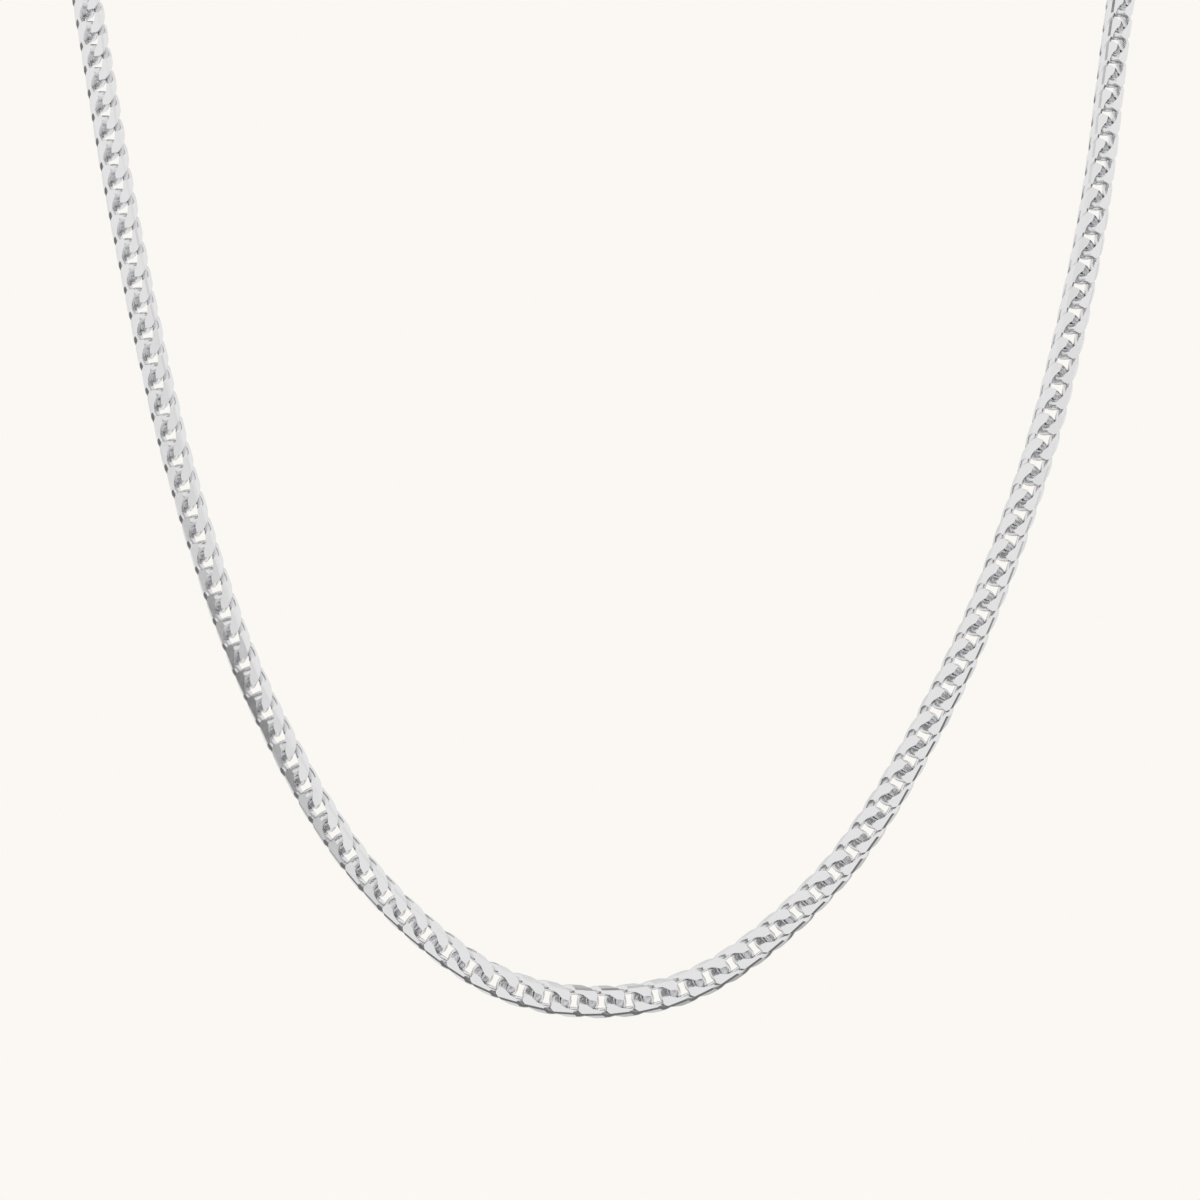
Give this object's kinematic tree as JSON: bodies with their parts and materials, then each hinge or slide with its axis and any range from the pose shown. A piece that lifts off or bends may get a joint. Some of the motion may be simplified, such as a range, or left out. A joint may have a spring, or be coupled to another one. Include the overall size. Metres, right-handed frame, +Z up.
{
  "type": "franco chain necklace",
  "caption": "Diamond-cut polished silver neck chain of flat interlocked links, held in the form it takes when worn, with a plain clasp at the nape.",
  "frame": {"origin": "middle of the clasp's inner face, where the necklace rests on the nape", "axes": "+Z up, the wearer faces -Y, +X to the right as seen from the front"},
  "size_m": [0.1118, 0.1061, 0.1442],
  "materials": {
    "chain_silver": "polished sterling silver, diamond-cut faces",
    "clasp_silver": "polished sterling silver"
  },
  "bodies": {
    "root": {"chain": "chain_silver", "clasp": "clasp_silver"}
  },
  "joints": []
}
